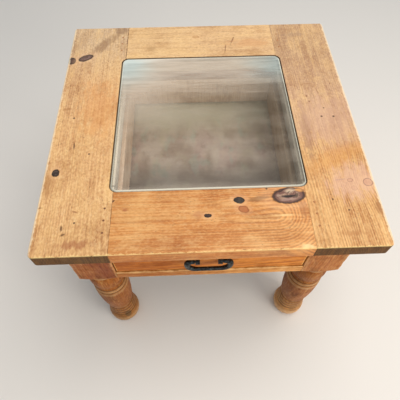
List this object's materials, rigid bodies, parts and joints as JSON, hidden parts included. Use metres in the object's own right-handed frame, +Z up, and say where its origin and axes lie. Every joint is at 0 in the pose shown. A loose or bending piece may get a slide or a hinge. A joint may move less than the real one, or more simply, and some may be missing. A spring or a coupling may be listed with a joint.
{
  "type": "collectors display table",
  "caption": "Low square pine side table with a glass pane let into its plank top, over a display drawer with an iron bail pull, on chunky turned legs.",
  "frame": {"origin": "on the floor, under the middle of the top", "axes": "+Z up, -Y towards the drawer front, +X to the right seen from the front"},
  "size_m": [0.61, 0.61, 0.51],
  "materials": {
    "top_pine": "old waxed pine, worn at the edges",
    "peg_wood": "dark end grain",
    "pane_glass": "clear float glass with a slight green cast",
    "leg_pine": "turned, waxed pine",
    "frame_pine": "waxed pine",
    "inner_pine": "bare pine",
    "drawer_face_pine": "waxed pine",
    "drawer_box_pine": "bare pine, greyed",
    "drawer_board": "thin board, stained and faded",
    "fixing_steel": "dull steel",
    "pull_iron": "black forged iron, rubbed bright in places"
  },
  "bodies": {
    "table": {"top_stile_left": "top_pine", "top_stile_right": "top_pine", "top_rail_front": "top_pine", "top_rail_back": "top_pine", "top_pegs": "peg_wood", "glass_panel": "pane_glass", "leg_front_left": "leg_pine", "leg_front_right": "leg_pine", "leg_back_left": "leg_pine", "leg_back_right": "leg_pine", "apron_left": "frame_pine", "apron_right": "frame_pine", "apron_back": "frame_pine", "drawer_bearer": "frame_pine", "runner_left": "inner_pine", "runner_right": "inner_pine", "guide_left": "inner_pine", "guide_right": "inner_pine", "drawer_stops": "inner_pine", "cleat_left": "inner_pine", "cleat_right": "inner_pine", "cleat_back": "inner_pine", "cleat_screws": "fixing_steel"},
    "drawer": {"drawer_front": "drawer_face_pine", "drawer_side_left": "drawer_box_pine", "drawer_side_right": "drawer_box_pine", "drawer_back": "drawer_box_pine", "drawer_bottom": "drawer_board", "drawer_bottom_nails": "fixing_steel", "drawer_back_nails": "fixing_steel", "pull_posts": "pull_iron", "pull_roses": "pull_iron", "pull_nuts": "fixing_steel"},
    "bail": {"pull_bail": "pull_iron"}
  },
  "joints": [
    {"name": "drawer_slide", "type": "slide", "parent": "table", "child": "drawer", "axis": [0, -1, 0], "range_m": [0, 0.3]},
    {"name": "bail_swing", "type": "hinge", "parent": "drawer", "child": "bail", "pos_m": [-0.004, -0.2885, 0.4325], "axis": [-1, 0, 0], "range_deg": [-14, 90]}
  ]
}
